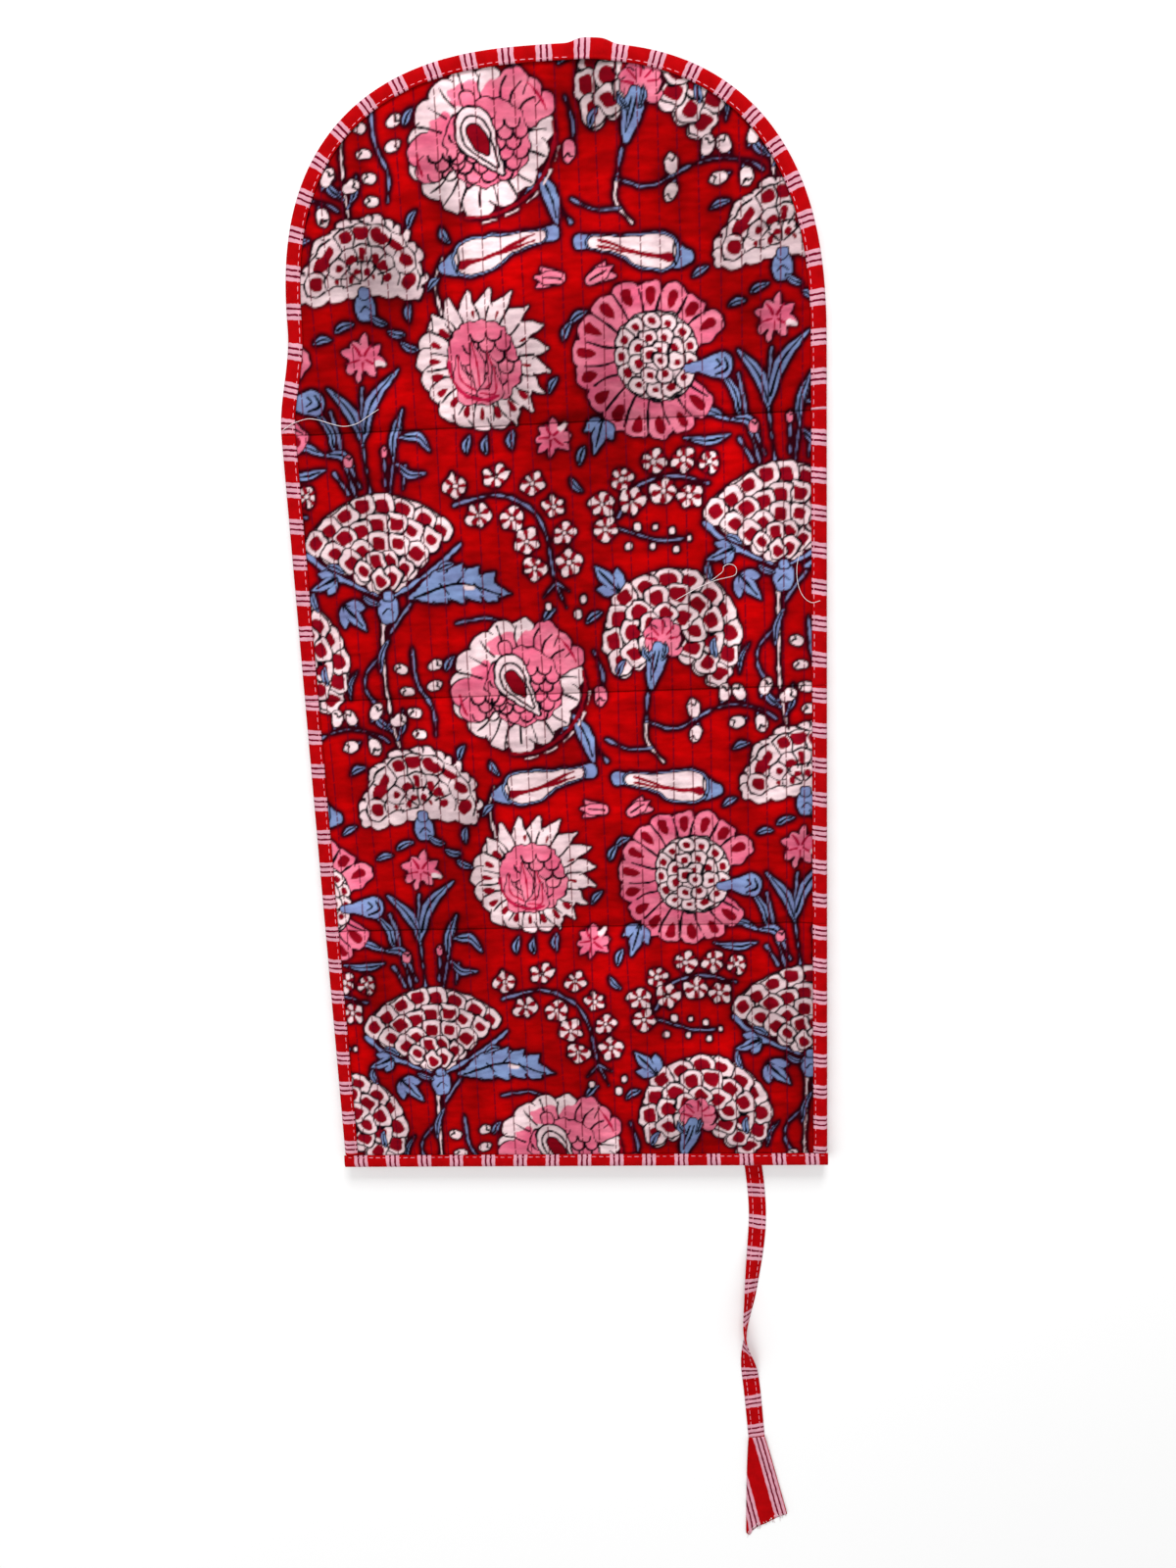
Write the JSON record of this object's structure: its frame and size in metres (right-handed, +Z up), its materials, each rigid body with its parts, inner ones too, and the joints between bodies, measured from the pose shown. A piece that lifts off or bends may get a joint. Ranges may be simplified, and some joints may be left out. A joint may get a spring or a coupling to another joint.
{
  "type": "quilted roll-up organiser",
  "caption": "Quilted cotton roll-up organiser laid open: round-topped flap, zipped pocket sections on sewn fold lines, striped binding and a flat cloth tie.",
  "frame": {"origin": "middle of the open panel, on the surface that it lies on", "axes": "+X to the right, +Y towards the round flap's tip, +Z up out of the printed face"},
  "size_m": [0.24, 0.7213, 0.0092],
  "materials": {
    "printed_cotton": "matt block-printed cotton, quilted",
    "striped_cotton": "matt striped cotton binding",
    "batting": "soft cotton wadding",
    "lining_cotton": "matt plain cotton",
    "zip_tape": "woven polyester tape",
    "zip_coil": "nylon coil",
    "zip_metal": "satin nickel",
    "thread": "cotton thread"
  },
  "bodies": {
    "upper_section": {"upper_printed_face": "printed_cotton", "upper_batting": "batting", "upper_lining": "lining_cotton", "upper_pocket_panel_top": "lining_cotton", "upper_pocket_panel_bottom": "lining_cotton", "upper_zip_tape_top": "zip_tape", "upper_zip_tape_bottom": "zip_tape", "upper_zip_coil_top": "zip_coil", "upper_zip_coil_bottom": "zip_coil", "upper_zip_stop_left": "zip_metal", "upper_zip_stop_right": "zip_metal", "upper_binding_left": "striped_cotton", "upper_binding_right": "striped_cotton", "tie_strap": "striped_cotton", "tie_frayed_end": "striped_cotton"},
    "flap": {"flap_printed_face": "printed_cotton", "flap_batting": "batting", "flap_lining": "lining_cotton", "flap_binding": "striped_cotton", "tie_under_flap": "striped_cotton", "tie_tack": "thread"},
    "middle_section": {"middle_printed_face": "printed_cotton", "middle_batting": "batting", "middle_lining": "lining_cotton", "middle_pocket_panel_top": "lining_cotton", "middle_pocket_panel_bottom": "lining_cotton", "middle_zip_tape_top": "zip_tape", "middle_zip_tape_bottom": "zip_tape", "middle_zip_coil_top": "zip_coil", "middle_zip_coil_bottom": "zip_coil", "middle_zip_stop_left": "zip_metal", "middle_zip_stop_right": "zip_metal", "middle_binding_left": "striped_cotton", "middle_binding_right": "striped_cotton"},
    "lower_section": {"lower_printed_face": "printed_cotton", "lower_batting": "batting", "lower_lining": "lining_cotton", "lower_pocket_panel_top": "lining_cotton", "lower_pocket_panel_bottom": "lining_cotton", "lower_zip_tape_top": "zip_tape", "lower_zip_tape_bottom": "zip_tape", "lower_zip_coil_top": "zip_coil", "lower_zip_coil_bottom": "zip_coil", "lower_zip_stop_left": "zip_metal", "lower_zip_stop_right": "zip_metal", "lower_binding_left": "striped_cotton", "lower_binding_right": "striped_cotton", "bottom_binding": "striped_cotton"},
    "upper_slider": {"upper_zip_slider": "zip_metal"},
    "upper_pull": {"upper_zip_pull": "zip_metal"},
    "middle_slider": {"middle_zip_slider": "zip_metal"},
    "middle_pull": {"middle_zip_pull": "zip_metal"},
    "lower_slider": {"lower_zip_slider": "zip_metal"},
    "lower_pull": {"lower_zip_pull": "zip_metal"}
  },
  "joints": [
    {"name": "flap_fold", "type": "hinge", "parent": "upper_section", "child": "flap", "pos_m": [0, 0.1025, 0.00925], "axis": [1, 0, 0], "range_deg": [0, 80]},
    {"name": "middle_fold", "type": "hinge", "parent": "upper_section", "child": "middle_section", "pos_m": [0, -0.0165, 0.00925], "axis": [-1, 0, 0], "range_deg": [0, 100]},
    {"name": "lower_fold", "type": "hinge", "parent": "middle_section", "child": "lower_section", "pos_m": [0, -0.1285, 0.00925], "axis": [-1, 0, 0], "range_deg": [0, 120]},
    {"name": "upper_zip_slide", "type": "slide", "parent": "upper_section", "child": "upper_slider", "axis": [1, 0, 0], "range_m": [0, 0.195]},
    {"name": "middle_zip_slide", "type": "slide", "parent": "middle_section", "child": "middle_slider", "axis": [1, 0, 0], "range_m": [0, 0.195]},
    {"name": "lower_zip_slide", "type": "slide", "parent": "lower_section", "child": "lower_slider", "axis": [1, 0, 0], "range_m": [0, 0.195]},
    {"name": "upper_pull_swing", "type": "hinge", "parent": "upper_slider", "child": "upper_pull", "pos_m": [-0.1025, 0.0705, 0.00195], "axis": [0, 1, 0], "range_deg": [0, 160]},
    {"name": "middle_pull_swing", "type": "hinge", "parent": "middle_slider", "child": "middle_pull", "pos_m": [-0.1025, -0.0485, 0.00195], "axis": [0, 1, 0], "range_deg": [0, 160]},
    {"name": "lower_pull_swing", "type": "hinge", "parent": "lower_slider", "child": "lower_pull", "pos_m": [-0.1025, -0.1605, 0.00195], "axis": [0, 1, 0], "range_deg": [0, 160]}
  ]
}
